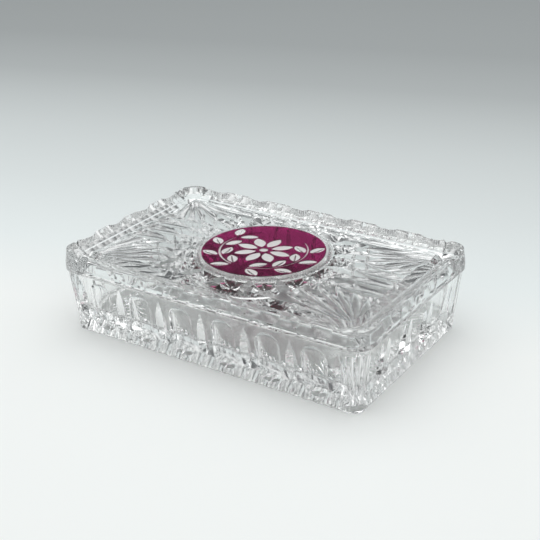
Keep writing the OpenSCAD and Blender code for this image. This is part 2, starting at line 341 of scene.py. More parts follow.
def kept(tools, tool, *moves):
    """Notes a tool among those to put away later, and moves its mesh, one move after another."""
    tools.append(tool)
    for move in moves:
        tool.data.transform(move)
    return tool


# ---------------------------------------------------------------------------
# Cutting tools
# ---------------------------------------------------------------------------
V_EDGE = [(-1, 0), (0, -1), (1, 0), (0, 1)]
ROUND_EDGE = ([(k / 6, k * k / 36 - 1) for k in range(-6, 7)]
              + [(-k / 6, 1 - k * k / 36) for k in range(-5, 6)])


def wheel_cut(name, length, width, depth, start=None, bend=0.0, peak=0.5, edge=V_EDGE,
              rib=0.0, stations=24):
    """The glass that a turning wheel takes out along X when it dips in at z = 0.

    The widest place lies at the share peak of the length, bend is how far the middle
    swings aside, edge is the section of the wheel's rim, and rib roughens the bottom with
    fine ridges across it.
    """
    first = -length / 2 if start is None else start
    mesh = bmesh.new()
    tip = mesh.verts.new(Vector((first, 0, 0)) * MM)
    rows = []
    for i in range(1, stations):
        t = i / stations
        warped = t / peak / 2 if t < peak else 0.5 + (t - peak) / (1 - peak) / 2
        share = 1 - (2 * warped - 1) ** 2
        x = first + length * t
        aside = bend * (1 - (2 * t - 1) ** 2)
        deep = depth * (1 + rib * (i % 2 - 0.5))
        rows.append([mesh.verts.new(Vector((x, aside + share * y * width / 2,
                                            share * z * deep)) * MM) for y, z in edge])
    end = mesh.verts.new(Vector((first + length, 0, 0)) * MM)
    for k in range(len(edge)):
        n = (k + 1) % len(edge)
        mesh.faces.new((tip, rows[0][n], rows[0][k]))
        mesh.faces.new((end, rows[-1][k], rows[-1][n]))
        for low, high in zip(rows, rows[1:]):
            mesh.faces.new((low[k], low[n], high[n], high[k]))
    return as_object(name, mesh)


def arch_cut(name, length, width, depth, rings=14, end_steps=20):
    """The glass that a blunt wheel takes out: a trough with steep shoulders, round ends."""
    run = (length - width) / 2
    outlines = []
    for i in range(rings + 1):
        radius = 0.02 + (width / 2 * 1.12 - 0.02) * i / rings
        z = depth * ((2 * radius / width) ** 3 - 1)
        outline = []
        for side in (0, 1):
            for k in range(end_steps + 1):
                turn = -pi / 2 + side * pi + pi * k / end_steps
                x = radius * cos(turn) + (run if side == 0 else -run)
                outline.append((x, radius * sin(turn), z))
        outlines.append(outline)
    outlines.append([(x, y, z + 2 * depth) for x, y, z in outlines[-1]])
    return as_object(name, loft(outlines))


def bar_radius(width, depth):
    """Radius of a round bar that takes out a hollow of this width and depth."""
    return ((width / 2) ** 2 + depth ** 2) / (2 * depth)


def round_bar(name, radius, low, high, steps=144):
    """An upright bar, the cut of a round-edged wheel that runs straight through."""
    return as_object(name, loft([circle_outline(radius, low, steps),
                                 circle_outline(radius, high, steps)]))


def ring_cut(name, profile, steps=192):
    """A tool turned about Z from a closed outline of (radius, height) points."""
    mesh = bmesh.new()
    rows = []
    for i in range(steps):
        turn = 2 * pi * i / steps
        rows.append([mesh.verts.new(Vector((r * cos(turn), r * sin(turn), z)) * MM)
                     for r, z in profile])
    for i in range(steps):
        here = rows[i]
        there = rows[(i + 1) % steps]
        for k in range(len(profile)):
            n = (k + 1) % len(profile)
            mesh.faces.new((here[k], there[k], there[n], here[n]))
    return as_object(name, mesh)


def leaf_outline(length, width, steps=18):
    """Outline of a pointed leaf along X, from x = 0."""
    arc_r = ((length / 2) ** 2 + (width / 2) ** 2) / width
    swing = asin(length / 2 / arc_r)
    near = [(length / 2 + arc_r * sin(swing * (2 * i / steps - 1)),
             width / 2 - arc_r + arc_r * cos(swing * (2 * i / steps - 1)))
            for i in range(steps + 1)]
    far = [(x, -y) for x, y in reversed(near[1:-1])]
    return near + far


def stem_band(name, low, high, mirrored, steps=60):
    """The arc of a spray's stem, a little narrower towards its tip."""
    side = -1 if mirrored else 1
    rings = []
    for i in range(steps + 1):
        turn = SPRAY_FROM + LEAF_PAIRS * LEAF_CLIMB * i / steps
        half = STEM_W / 2 * (1 - 0.5 * i / steps)
        rings.append([(side * r * cos(turn), r * sin(turn), z)
                      for r, z in ((SPRAY_R - half, low), (SPRAY_R + half, low),
                                   (SPRAY_R + half, high), (SPRAY_R - half, high))])
    return as_object(name, loft(rings))


def leaf_plug(name, length, width, low, high):
    """A pointed leaf with upright sides, which cuts through the ruby skin."""
    outline = leaf_outline(length, width)
    return as_object(name, loft([[(x, y, low) for x, y in outline],
                                 [(x, y, high) for x, y in outline]]))


# ---------------------------------------------------------------------------
# Geometry Nodes: the trees that set out the cuts and take them from the glass
# ---------------------------------------------------------------------------
NUMBER = "NodeSocketFloat"
COUNT = "NodeSocketInt"
TOOL = "NodeSocketObject"


class CutTree:
    """A node tree that sets a tool out by a rule and takes it from the glass."""

    def __init__(self, name, *sizes):
        self.tree = bpy.data.node_groups.new(name, "GeometryNodeTree")
        face = self.tree.interface
        face.new_socket("Glass", in_out="INPUT", socket_type="NodeSocketGeometry")
        face.new_socket("Tool", in_out="INPUT", socket_type=TOOL)
        face.new_socket("Count", in_out="INPUT", socket_type=COUNT)
        for label in sizes:
            face.new_socket(label, in_out="INPUT", socket_type=NUMBER)
        face.new_socket("Finish", in_out="INPUT", socket_type="NodeSocketMaterial")
        face.new_socket("Glass", in_out="OUTPUT", socket_type="NodeSocketGeometry")
        self.given = self.tree.nodes.new("NodeGroupInput").outputs

    def node(self, kind, inputs=(), **settings):
        """Adds a node; inputs maps a socket's name or number to a value or a socket."""
        node = self.tree.nodes.new(kind)
        for key, value in settings.items():
            setattr(node, key, value)
        for key, value in dict(inputs).items():
            self.feed(node.inputs[key], value)
        return node

    def feed(self, socket, value):
        """Links a socket to a socket, or sets its own value."""
        if isinstance(value, bpy.types.NodeSocket):
            self.tree.links.new(value, socket)
        else:
            socket.default_value = value

    def sum(self, operation, first, second=0.0):
        """One step of arithmetic."""
        return self.node("ShaderNodeMath", {0: first, 1: second},
                         operation=operation).outputs[0]

    def index(self):
        """The number of the cut, from 0."""
        return self.node("GeometryNodeInputIndex").outputs[0]

    def corner(self):
        """The cut's corner, its number within it, and the signs of the corner's X and Y."""
        corner = self.sum("FLOOR", self.sum("DIVIDE", self.index(), self.given["Count"]))
        place = self.sum("SUBTRACT", self.index(),
                         self.sum("MULTIPLY", corner, self.given["Count"]))
        turn = self.sum("MULTIPLY", self.sum("ADD", corner, 0.5), pi / 2)
        east = self.sum("SIGN", self.sum("COSINE", turn))
        north = self.sum("SIGN", self.sum("SINE", turn))
        return corner, place, east, north

    def vector(self, x=0.0, y=0.0, z=0.0):
        """A vector of three numbers."""
        return self.node("ShaderNodeCombineXYZ", {0: x, 1: y, 2: z}).outputs[0]

    def set_out(self, count, position, turn, scale=None):
        """Puts the tool on points with a place, a turn in Euler angles and a scale."""
        points = self.node("GeometryNodePoints", {"Count": count, "Position": position})
        tool = self.node("GeometryNodeObjectInfo", {"Object": self.given["Tool"]})
        fresh = self.mark(tool.outputs["Geometry"], True)
        turned = self.node("FunctionNodeEulerToRotation", {0: turn})
        cuts = self.node("GeometryNodeInstanceOnPoints", {
            "Points": points.outputs[0], "Instance": fresh,
            "Rotation": turned.outputs[0]})
        if scale is not None:
            self.feed(cuts.inputs["Scale"], scale)
        return cuts.outputs[0]

    def mark(self, geometry, fresh):
        """Notes on each face whether it belongs to the cut."""
        return self.node("GeometryNodeStoreNamedAttribute", {
            "Geometry": geometry, "Name": "fresh cut", "Value": fresh},
            data_type="BOOLEAN", domain="FACE").outputs[0]

    def and_opposite(self, cuts, turn):
        """The cuts turned about Z, together with the same on the opposite side."""
        here = self.node("GeometryNodeTransform", {
            "Geometry": cuts, "Rotation": self.vector(z=turn)}).outputs[0]
        there = self.node("GeometryNodeTransform", {
            "Geometry": here, "Rotation": (0, 0, pi)}).outputs[0]
        both = self.node("GeometryNodeJoinGeometry")
        self.tree.links.new(here, both.inputs[0])
        self.tree.links.new(there, both.inputs[0])
        return both.outputs[0]

    def take_away(self, cuts):
        """Takes the cuts from the glass and ends the tree."""
        carve = self.node("GeometryNodeMeshBoolean", operation="DIFFERENCE",
                          solver="MANIFOLD")
        self.tree.links.new(self.mark(self.given["Glass"], False), carve.inputs["Mesh 1"])
        self.tree.links.new(cuts, carve.inputs["Mesh 2"])
        real = self.node("GeometryNodeRealizeInstances", {0: carve.outputs["Mesh"]})
        fresh = self.node("GeometryNodeInputNamedAttribute", {"Name": "fresh cut"},
                          data_type="BOOLEAN")
        dressed = self.node("GeometryNodeSetMaterial", {
            "Geometry": real.outputs[0], "Selection": fresh.outputs["Attribute"],
            "Material": self.given["Finish"]})
        end = self.tree.nodes.new("NodeGroupOutput")
        self.tree.links.new(dressed.outputs[0], end.inputs[0])
        return self.tree


def tree_of_rows():
    """Cuts at an even pitch along two opposite sides."""
    t = CutTree("Row of cuts on two sides", "Pitch", "Off", "Turn")
    last = t.sum("SUBTRACT", t.given["Count"], 1.0)
    place = t.sum("SUBTRACT", t.index(), t.sum("MULTIPLY", last, 0.5))
    x = t.sum("MULTIPLY", place, t.given["Pitch"])
    y = t.sum("MULTIPLY", t.given["Off"], -1.0)
    cuts = t.set_out(t.given["Count"], t.vector(x, y), t.vector())
    return t.take_away(t.and_opposite(cuts, t.given["Turn"]))


def tree_of_rings():
    """Cuts at an even angle round a circle, each turned about its own middle."""
    t = CutTree("Ring of cuts", "Radius", "First", "Step", "Own turn")
    angle = t.sum("ADD", t.sum("MULTIPLY", t.index(), t.given["Step"]), t.given["First"])
    x = t.sum("MULTIPLY", t.sum("COSINE", angle), t.given["Radius"])
    y = t.sum("MULTIPLY", t.sum("SINE", angle), t.given["Radius"])
    turn = t.sum("ADD", angle, t.given["Own turn"])
    cuts = t.set_out(t.given["Count"], t.vector(x, y), t.vector(z=turn))
    return t.take_away(cuts)


def tree_of_corners():
    """Cuts at even angles round each of the four upright corners."""
    t = CutTree("Cuts round the corners", "Middle x", "Middle y", "Radius")
    corner, place, east, north = t.corner()
    share = t.sum("DIVIDE", t.sum("ADD", place, 0.5), t.given["Count"])
    angle = t.sum("MULTIPLY", t.sum("ADD", corner, share), pi / 2)
    x = t.sum("ADD", t.sum("MULTIPLY", east, t.given["Middle x"]),
              t.sum("MULTIPLY", t.sum("COSINE", angle), t.given["Radius"]))
    y = t.sum("ADD", t.sum("MULTIPLY", north, t.given["Middle y"]),
              t.sum("MULTIPLY", t.sum("SINE", angle), t.given["Radius"]))
    all_four = t.sum("MULTIPLY", t.given["Count"], 4.0)
    return t.take_away(t.set_out(all_four, t.vector(x, y), t.vector(z=angle)))


def tree_of_fans():
    """Rays that spread from a point near each corner and stop short of a circle.

    The tool is one ray, as long as Unit says. Rays beside the circle grow shorter the
    further aside they pass.
    """
    t = CutTree("Fans from the corners", "First angle", "Last angle", "Point x", "Point y",
                "Circle", "Longest", "Height", "Unit")
    _, ray, east, north = t.corner()
    share = t.sum("DIVIDE", ray, t.sum("SUBTRACT", t.given["Count"], 1.0))
    spread = t.sum("SUBTRACT", t.given["Last angle"], t.given["First angle"])
    angle = t.sum("ADD", t.sum("MULTIPLY", share, spread), t.given["First angle"])
    # length of the ray
    far = t.sum("SQRT", t.sum("ADD", t.sum("POWER", t.given["Point x"], 2.0),
                              t.sum("POWER", t.given["Point y"], 2.0)))
    aim = t.sum("ARCTAN2", t.given["Point y"], t.given["Point x"])
    off_aim = t.sum("SUBTRACT", angle, aim)
    aside = t.sum("MULTIPLY", far, t.sum("ABSOLUTE", t.sum("SINE", off_aim)))
    along = t.sum("MULTIPLY", far, t.sum("COSINE", off_aim))
    room = t.sum("SUBTRACT", t.sum("POWER", t.given["Circle"], 2.0),
                 t.sum("POWER", aside, 2.0))
    into = t.sum("SQRT", t.sum("MAXIMUM", room, 0.0))
    to_circle = t.sum("MINIMUM", t.sum("SUBTRACT", along, into), t.given["Longest"])
    share_past = t.sum("DIVIDE", t.given["Circle"], aside)
    past = t.sum("MULTIPLY", t.given["Longest"], share_past)
    meets = t.sum("GREATER_THAN", room, 0.0)
    length = t.sum("ADD", t.sum("MULTIPLY", meets, to_circle),
                   t.sum("MULTIPLY", t.sum("SUBTRACT", 1.0, meets), past))
    # direction towards the middle of the field, and the turn that mirrors the bend
    heading = t.sum("ARCTAN2",
                    t.sum("MULTIPLY", t.sum("SINE", angle), t.sum("MULTIPLY", north, -1.0)),
                    t.sum("MULTIPLY", t.sum("COSINE", angle), t.sum("MULTIPLY", east, -1.0)))
    mirrored = t.sum("LESS_THAN", t.sum("MULTIPLY", east, north), 0.0)
    roll = t.sum("MULTIPLY", mirrored, pi)
    place = t.vector(t.sum("MULTIPLY", east, t.given["Point x"]),
                     t.sum("MULTIPLY", north, t.given["Point y"]), t.given["Height"])
    stretch = t.sum("DIVIDE", length, t.given["Unit"])
    all_four = t.sum("MULTIPLY", t.given["Count"], 4.0)
    cuts = t.set_out(all_four, place, t.vector(roll, 0.0, heading),
                     t.vector(stretch, 1.0, 1.0))
    return t.take_away(cuts)


def tree_of_sprays():
    """Leaves in pairs up two mirrored stems that climb round the middle flower."""
    t = CutTree("Leaf sprays", "Radius", "Start", "Climb", "Splay", "Aside")
    per_spray = t.sum("MULTIPLY", t.given["Count"], 2.0)
    spray = t.sum("FLOOR", t.sum("DIVIDE", t.index(), per_spray))
    leaf = t.sum("SUBTRACT", t.index(), t.sum("MULTIPLY", spray, per_spray))
    step = t.sum("FLOOR", t.sum("DIVIDE", leaf, 2.0))
    outer = t.sum("SUBTRACT", t.sum("MULTIPLY", t.sum("MODULO", leaf, 2.0), 2.0), 1.0)
    climb = t.sum("MULTIPLY", step, t.given["Climb"])
    angle = t.sum("ADD", t.given["Start"], climb)
    radius = t.sum("ADD", t.given["Radius"], t.sum("MULTIPLY", outer, t.given["Aside"]))
    side = t.sum("SUBTRACT", 1.0, t.sum("MULTIPLY", spray, 2.0))
    x = t.sum("MULTIPLY", t.sum("MULTIPLY", t.sum("COSINE", angle), radius), side)
    y = t.sum("MULTIPLY", t.sum("SINE", angle), radius)
    lean = t.sum("SUBTRACT", pi / 2, t.sum("MULTIPLY", outer, t.given["Splay"]))
    right_turn = t.sum("ADD", angle, lean)
    left_turn = t.sum("SUBTRACT", pi, right_turn)
    turn = t.sum("ADD", t.sum("MULTIPLY", t.sum("SUBTRACT", 1.0, spray), right_turn),
                 t.sum("MULTIPLY", spray, left_turn))
    both = t.sum("MULTIPLY", per_spray, 2.0)
    return t.take_away(t.set_out(both, t.vector(x, y), t.vector(z=turn)))


ROWS = tree_of_rows()
RINGS = tree_of_rings()
CORNERS = tree_of_corners()
FANS = tree_of_fans()
SPRAYS = tree_of_sprays()
LENGTHS = {"Pitch", "Off", "Radius", "Middle x", "Middle y", "Point x", "Point y",
           "Circle", "Longest", "Height", "Unit", "Aside"}


def carve(glass, tree, tool, finish, **sizes):
    """Adds one set of cuts to the glass; lengths are given in millimetres."""
    given = {"Tool": tool, "Finish": finish}
    for key, value in sizes.items():
        label = key.replace("_", " ")
        label = label[0].upper() + label[1:]
        given[label] = value * MM if label in LENGTHS else value
    step = glass.modifiers.new(tree.name, "NODES")
    step.node_group = tree
    for item in tree.interface.items_tree:
        if item.in_out == "INPUT" and item.name in given:
            value = given[item.name]
            if item.socket_type == NUMBER:
                value = float(value)
            step[item.identifier] = value


def carve_once(glass, tool, finish):
    """Adds one cut with a tool that already stands in its place."""
    carve(glass, RINGS, tool, finish, count=1, radius=0, first=0, step=0, own_turn=0)


def carve_sides(glass, tool, long_side, short_side):
    """Adds cuts along all four sides; each kind of side is given as (count, pitch)."""
    for (count, pitch), off, turn in ((long_side, BOX_W / 2, 0),
                                      (short_side, BOX_L / 2, pi / 2)):
        carve(glass, ROWS, tool, crystal, count=count, pitch=pitch, off=off, turn=turn)


def carve_fans(glass, tool, inset, circle, longest, height):
    """Adds a fan of rays in each corner, from a point set in from both sides."""
    carve(glass, FANS, tool, crystal, count=FAN_RAYS, first_angle=FAN_FROM,
          last_angle=FAN_TO, point_x=BOX_L / 2 - inset, point_y=BOX_W / 2 - inset,
          circle=circle, longest=longest, height=height, unit=RAY_UNIT)


def carve_petals(glass, tool, finish):
    """Adds the petals of the middle flower."""
    carve(glass, RINGS, tool, finish, count=PETALS, radius=EYE_R + STEM_W, first=0,
          step=2 * pi / PETALS, own_turn=0)


def carve_sprays(glass, tool, finish):
    """Adds the leaves of both sprays."""
    carve(glass, SPRAYS, tool, finish, count=LEAF_PAIRS, radius=SPRAY_R, start=SPRAY_FROM,
          climb=LEAF_CLIMB, splay=LEAF_SPLAY, aside=STEM_W)


SHARP_FROM = radians(12)
WELD = 2e-7  # metres


def polished(piece):
    """Bakes the cuts into a plain mesh with crisp cut edges and smooth polished faces."""
    graph = bpy.context.evaluated_depsgraph_get()
    data = bpy.data.meshes.new_from_object(piece.evaluated_get(graph), depsgraph=graph)
    mesh = bmesh.new()
    mesh.from_mesh(data)
    bmesh.ops.remove_doubles(mesh, verts=mesh.verts, dist=WELD)
    bmesh.ops.dissolve_degenerate(mesh, edges=mesh.edges, dist=WELD)
    mesh.to_mesh(data)
    mesh.free()
    piece.modifiers.clear()
    old = piece.data
    piece.data = data
    bpy.data.meshes.remove(old)
    data.name = piece.name
    data.shade_smooth()
    data.set_sharp_from_angle(angle=SHARP_FROM)
    weight = piece.modifiers.new("Even faces", "WEIGHTED_NORMAL")
    weight.keep_sharp = True
    weight.weight = 100
    graph = bpy.context.evaluated_depsgraph_get()
    data = bpy.data.meshes.new_from_object(piece.evaluated_get(graph), depsgraph=graph)
    piece.modifiers.clear()
    piece.data = data
    return piece


def drop(tools):
    """Puts the tools away."""
    for tool in tools:
        data = tool.data
        bpy.data.objects.remove(tool)
        bpy.data.meshes.remove(data)


# ---------------------------------------------------------------------------
# Materials
# ---------------------------------------------------------------------------
GLASS_IOR = 1.53
RIPPLE_SCALE = 200.0
WEAR_SCALE = 260.0
RUBY_HUE = (0.742, 0.042, 0.511, 1)
RUBY_DENSITY = 3600.0


def add_node(nodes, kind, values=(), **settings):
    """Adds a shader node with its settings, then the values of its own sockets."""
    node = nodes.new(kind)
    for key, value in settings.items():
        setattr(node, key, value)
    for key, value in dict(values).items():
        node.inputs[key].default_value = value
    return node


def glass_material(name, colour, waviness, low_rough=0.0, high_rough=0.035, clear=1.0):
    """Lead glass with a faint ripple and uneven gloss; clear is how much light it lets by."""
    material = bpy.data.materials.new(name)
    material.use_nodes = True
    nodes = material.node_tree.nodes
    links = material.node_tree.links
    shader = nodes["Principled BSDF"]
    shader.inputs["Base Color"].default_value = (*colour, 1)
    shader.inputs["Transmission Weight"].default_value = clear
    shader.inputs["IOR"].default_value = GLASS_IOR
    place = nodes.new("ShaderNodeTexCoord")
    ripple = add_node(nodes, "ShaderNodeTexNoise", {"Scale": RIPPLE_SCALE, "Detail": 2.0})
    links.new(place.outputs["Object"], ripple.inputs["Vector"])
    bump = add_node(nodes, "ShaderNodeBump", {"Strength": 1.0, "Distance": waviness * MM})
    links.new(ripple.outputs["Fac"], bump.inputs["Height"])
    links.new(bump.outputs["Normal"], shader.inputs["Normal"])
    wear = add_node(nodes, "ShaderNodeTexNoise", {"Scale": WEAR_SCALE, "Detail": 3.0})
    links.new(place.outputs["Object"], wear.inputs["Vector"])
    gloss = add_node(nodes, "ShaderNodeMapRange", {
        "From Min": 0.35, "From Max": 0.8, "To Min": low_rough, "To Max": high_rough})
    links.new(wear.outputs["Fac"], gloss.inputs["Value"])
    links.new(gloss.outputs["Result"], shader.inputs["Roughness"])
    return material


crystal = glass_material("clear crystal", (0.996, 0.999, 0.997), 0.035)
ground = glass_material("ground edge", (0.97, 0.98, 0.975), 0.02, 0.22, 0.4, 0.75)
satin = glass_material("engraved satin", (0.86, 0.86, 0.85), 0.01, 0.5, 0.65, 0.35)
ruby = glass_material("ruby stain", (0.62, 0.14, 0.36), 0.01)
depth = add_node(ruby.node_tree.nodes, "ShaderNodeVolumeAbsorption",
                 {"Color": RUBY_HUE, "Density": RUBY_DENSITY})
ruby.node_tree.links.new(depth.outputs[0],
                         ruby.node_tree.nodes["Material Output"].inputs["Volume"])


# ---------------------------------------------------------------------------
# Tray
# ---------------------------------------------------------------------------
def tray_blank():
    """The pressed tray before it is cut."""
    rim_z = TRAY_H - SEAM_GAP
    cavity_inset = RIM_INSET + WALL_T
    outer = softened([
        (UNDER_INSET, FOOT_LIFT, 0), (UNDER_INSET, 0, 0.3), (FOOT_INSET, 0, EDGE_R),
        (RIM_INSET, rim_z, 0.8), (cavity_inset, rim_z, EDGE_R),
        (cavity_inset + CAVITY_LEAN, FLOOR_T, 2.2), (cavity_inset + CAVITY_LEAN + FLOOR_RUN, FLOOR_T)],
        EDGE_R)
    rings = []
    inside = False
    for inset, z in outer:
        if inset > (RIM_INSET + cavity_inset) / 2 and z > FLOOR_T / 2:
            inside = True
        if inside:
            radius = max(CAVITY_R - (inset - cavity_inset), 1.5)
        else:
            radius = max(CORNER_R - inset, 1.2)
        rings.append(rounded_rectangle(inset, radius, z))
    return as_object("crystal_tray", loft(rings), crystal)


def cut_walls(tray, tools):
    """Pointed cuts and arches on the long walls, pairs of pointed cuts on the short ones."""
    mid_z = (WALL_CUT_FROM + WALL_CUT_TO) / 2
    inward = (TRAY_H - mid_z) * tan(TRAY_ANGLE)
    # stands a tool made along X up against the leaning wall, its top upwards
    upright = shift(0, inward, mid_z) @ spin(pi / 2 + TRAY_ANGLE, "X") @ spin(pi / 2, "Z")
    half_w = BOX_W / 2 - RIM_INSET
    half_l = BOX_L / 2 - RIM_INSET
    flame = kept(tools, wheel_cut("flame", WALL_CUT_H, FLAME_W, FLAME_D), upright)
    carve(tray, ROWS, flame, crystal, count=FLAMES, pitch=FLAME_PITCH, off=half_w, turn=0)
    arch = kept(tools, arch_cut("arch", WALL_CUT_H, ARCH_W, ARCH_D), upright)
    carve(tray, ROWS, arch, crystal, count=FLAMES - 1, pitch=FLAME_PITCH, off=half_w, turn=0)
    for side in (-1, 1):
        pair = kept(tools, wheel_cut("pair", WALL_CUT_H, FLAME_W, FLAME_D), upright,
                    Matrix.Translation((side * PAIR_GAP / 2 * MM, 0, 0)))
        carve(tray, ROWS, pair, crystal, count=PAIRS, pitch=PAIR_PITCH, off=half_l,
              turn=pi / 2)


def cut_corners(tray, tools):
    """Upright flutes round each corner, and the notches that set off its knob."""
    corner_r = CORNER_R - RIM_INSET
    foot_r = corner_r - TRAY_LEAN
    corner = {"middle_x": BOX_L / 2 - RIM_INSET - corner_r,
              "middle_y": BOX_W / 2 - RIM_INSET - corner_r, "radius": foot_r}
    flute = kept(tools, round_bar("corner flute", CORNER_FLUTE_R, 0, WALL_CUT_H),
                 spin(TRAY_ANGLE, "Y")
                 @ shift(CORNER_FLUTE_R - CORNER_FLUTE_D, 0, WALL_CUT_FROM))
    carve(tray, CORNERS, flute, crystal, count=CORNER_FLUTES, **corner)
    for side in (-1, 1):
        notch = kept(tools, wheel_cut("knob notch", KNOB_H + KNOB_NOTCH_OVER, KNOB_NOTCH_W,
                                      KNOB_NOTCH_D),
                     spin(TRAY_ANGLE, "Y")
                     @ shift(KNOB_NOTCH_OUT, 0, KNOB_H / 2 - KNOB_NOTCH_SINK)
                     @ spin(pi / 2, "Y"),
                     shift(-foot_r) @ spin(side * pi / 4, "Z") @ shift(foot_r))
        carve(tray, CORNERS, notch, crystal, count=1, **corner)


def cut_underside(tray, tools):
    """The fans and the crossed border under the floor, and the beads along the foot."""
    ray = kept(tools, wheel_cut("under ray", RAY_UNIT, UNDER_RAY_W, UNDER_RAY_D, start=0))
    carve_fans(tray, ray, UNDER_INSET + RAY_MARGIN, UNDER_CLEAR_R, UNDER_RAY_L, FOOT_LIFT)
    for slant in BORDER_SLANTS:
        border = kept(tools, wheel_cut("border cut", BORDER_L, BORDER_W, BORDER_D),
                      shift(0, UNDER_INSET + BORDER_BAND / 2, FOOT_LIFT) @ spin(slant, "Z"))
        carve_sides(tray, border, (BORDER_LONG, BORDER_PITCH), (BORDER_SHORT, BORDER_PITCH))
    bead_r = bar_radius(BEAD_W, BEAD_D)
    bead = kept(tools, round_bar("foot bead", bead_r, -BEAD_REACH, BEAD_REACH),
                shift(0, FOOT_INSET, 0) @ spin(BEAD_TILT, "X") @ shift(0, 0, BEAD_D - bead_r)
                @ spin(pi / 2, "X"))
    carve_sides(tray, bead, (BEADS_LONG, BEAD_PITCH), (BEADS_SHORT, BEAD_PITCH))


def make_tray():
    """The tray, with its cut walls and the cuts under its thick floor."""
    tray = tray_blank()
    tools = []
    cut_walls(tray, tools)
    cut_corners(tray, tools)
    cut_underside(tray, tools)
    polished(tray)
    drop(tools)
    return tray


# ---------------------------------------------------------------------------
# Lid
# ---------------------------------------------------------------------------
def lid_blank():
    """The pressed lid before it is cut, with its hollow and its locating lip."""
    lip = RIM_INSET + WALL_T + LIP_GAP
    lip_lean = CAVITY_LEAN * LIP_DROP / (TRAY_H - FLOOR_T)
    hollow = lip + LIP_W
    profile = softened([
        (hollow + FLOOR_RUN, HOLLOW_Z), (hollow + HOLLOW_LEAN, HOLLOW_Z, 1.8),
        (hollow, LIP_Z, 0.4),
        (lip + lip_lean, LIP_Z, 0.4), (lip, TRAY_H, 0.3), (0, TRAY_H, 0.7),
        (0, BEVEL_Z, 0.6), (BEVEL_IN, TOP_Z, EDGE_R), (BEVEL_IN + RIM_W, TOP_Z, 0.9),
        (FIELD_INSET, FIELD_Z, 0.9), (FIELD_INSET + FIELD_RUN, FIELD_Z)], EDGE_R)
    rings = []
    for inset, z in profile:
        if z < HOLLOW_Z + 0.1 and inset > 0.7 * lip:
            radius = max(CAVITY_R - LIP_GAP - (inset - lip), 1.2)
        elif z > BEVEL_Z and inset > BEVEL_IN + RIM_W / 2:
            radius = max(FIELD_R + FIELD_INSET - inset, 1.2)
        else:
            radius = CORNER_R - inset
        rings.append(rounded_rectangle(inset, radius, z))
    return as_object("crystal_lid", loft(rings), crystal)


def medallion_blank():
    """The raised disc in the middle of the lid."""
    return as_object("medallion", loft([circle_outline(MED_R, HOLLOW_Z + 1),
                                        circle_outline(MED_R, RUBY_Z)]), crystal)


def medallion_roll():
    """What is ground off the disc's edge to round it over."""
    profile = [(RUBY_R + 0.1, RUBY_Z + 1)]
    for i in range(13):
        turn = i / 12 * pi / 2
        profile.append((MED_R - MED_ROLL * (1 - sin(turn)),
                        RUBY_Z - MED_ROLL_H * (1 - cos(turn))))
    profile += [(MED_R + 1, RUBY_Z - MED_ROLL_H), (MED_R + 1, RUBY_Z + 1)]
    return ring_cut("medallion roll", profile)


def joined(first, second):
    """Melts two closed glass solids into one."""
    step = first.modifiers.new("Melt", "BOOLEAN")
    step.operation = "UNION"
    step.solver = "MANIFOLD"
    step.object = second


def cut_lid_edge(lid, tools):
    """Scoops with notches between them in the bevel, and thumb cuts on the top edge."""
    lean = atan((SCOOP_D - SCOOP_FOOT_D) / BEVEL_H) + BEVEL_ANGLE
    scoop = kept(tools, round_bar("scoop", SCOOP_R, -SCOOP_BELOW, BEVEL_H + SCOOP_ABOVE),
                 shift(0, 0, BEVEL_Z) @ spin(-lean, "X") @ shift(0, SCOOP_FOOT_D - SCOOP_R, 0))
    carve_sides(lid, scoop, (SCOOPS_LONG, SCOOP_LONG_PITCH),
                (SCOOPS_SHORT, SCOOP_SHORT_PITCH))
    notch = kept(tools, wheel_cut("notch", BEVEL_H - 1, NOTCH_W, NOTCH_D),
                 shift(0, BEVEL_IN / 2, BEVEL_Z + BEVEL_H / 2)
                 @ spin(pi / 2 - BEVEL_ANGLE, "X") @ spin(pi / 2, "Z"))
    carve_sides(lid, notch, (SCOOPS_LONG - 1, SCOOP_LONG_PITCH),
                (SCOOPS_SHORT - 1, SCOOP_SHORT_PITCH))
    thumb_r = bar_radius(THUMB_W, THUMB_D)
    thumb = kept(tools, round_bar("thumb", thumb_r, -THUMB_REACH, THUMB_REACH),
                 shift(0, BEVEL_IN, TOP_Z) @ spin(THUMB_TILT, "X")
                 @ shift(0, 0, thumb_r - THUMB_D) @ spin(pi / 2, "X"))
    carve_sides(lid, thumb, (THUMBS_LONG, THUMB_PITCH), (THUMBS_SHORT, THUMB_PITCH))


def cut_field(lid, tools):
    """The corner fans, and the flutes between them on the short sides."""
    inset = FIELD_INSET + RAY_MARGIN
    ray = kept(tools, wheel_cut("ray", RAY_UNIT, RAY_W, RAY_D, start=0, bend=RAY_BEND,
                                peak=RAY_PEAK, edge=ROUND_EDGE))
    carve_fans(lid, ray, inset, STAR_OUT + STAR_GAP, RAY_L, FIELD_Z)
    side_flute = kept(tools, wheel_cut("side flute", SIDE_FLUTE_L, SIDE_FLUTE_W,
                                       SIDE_FLUTE_D, edge=ROUND_EDGE, bend=SIDE_FLUTE_BEND),
                      shift(0, inset + SIDE_FLUTE_L / 2, FIELD_Z) @ spin(pi / 2, "Z"))
    carve(lid, ROWS, side_flute, crystal, count=SIDE_FLUTES, pitch=SIDE_FLUTE_PITCH,
          off=BOX_L / 2, turn=pi / 2)


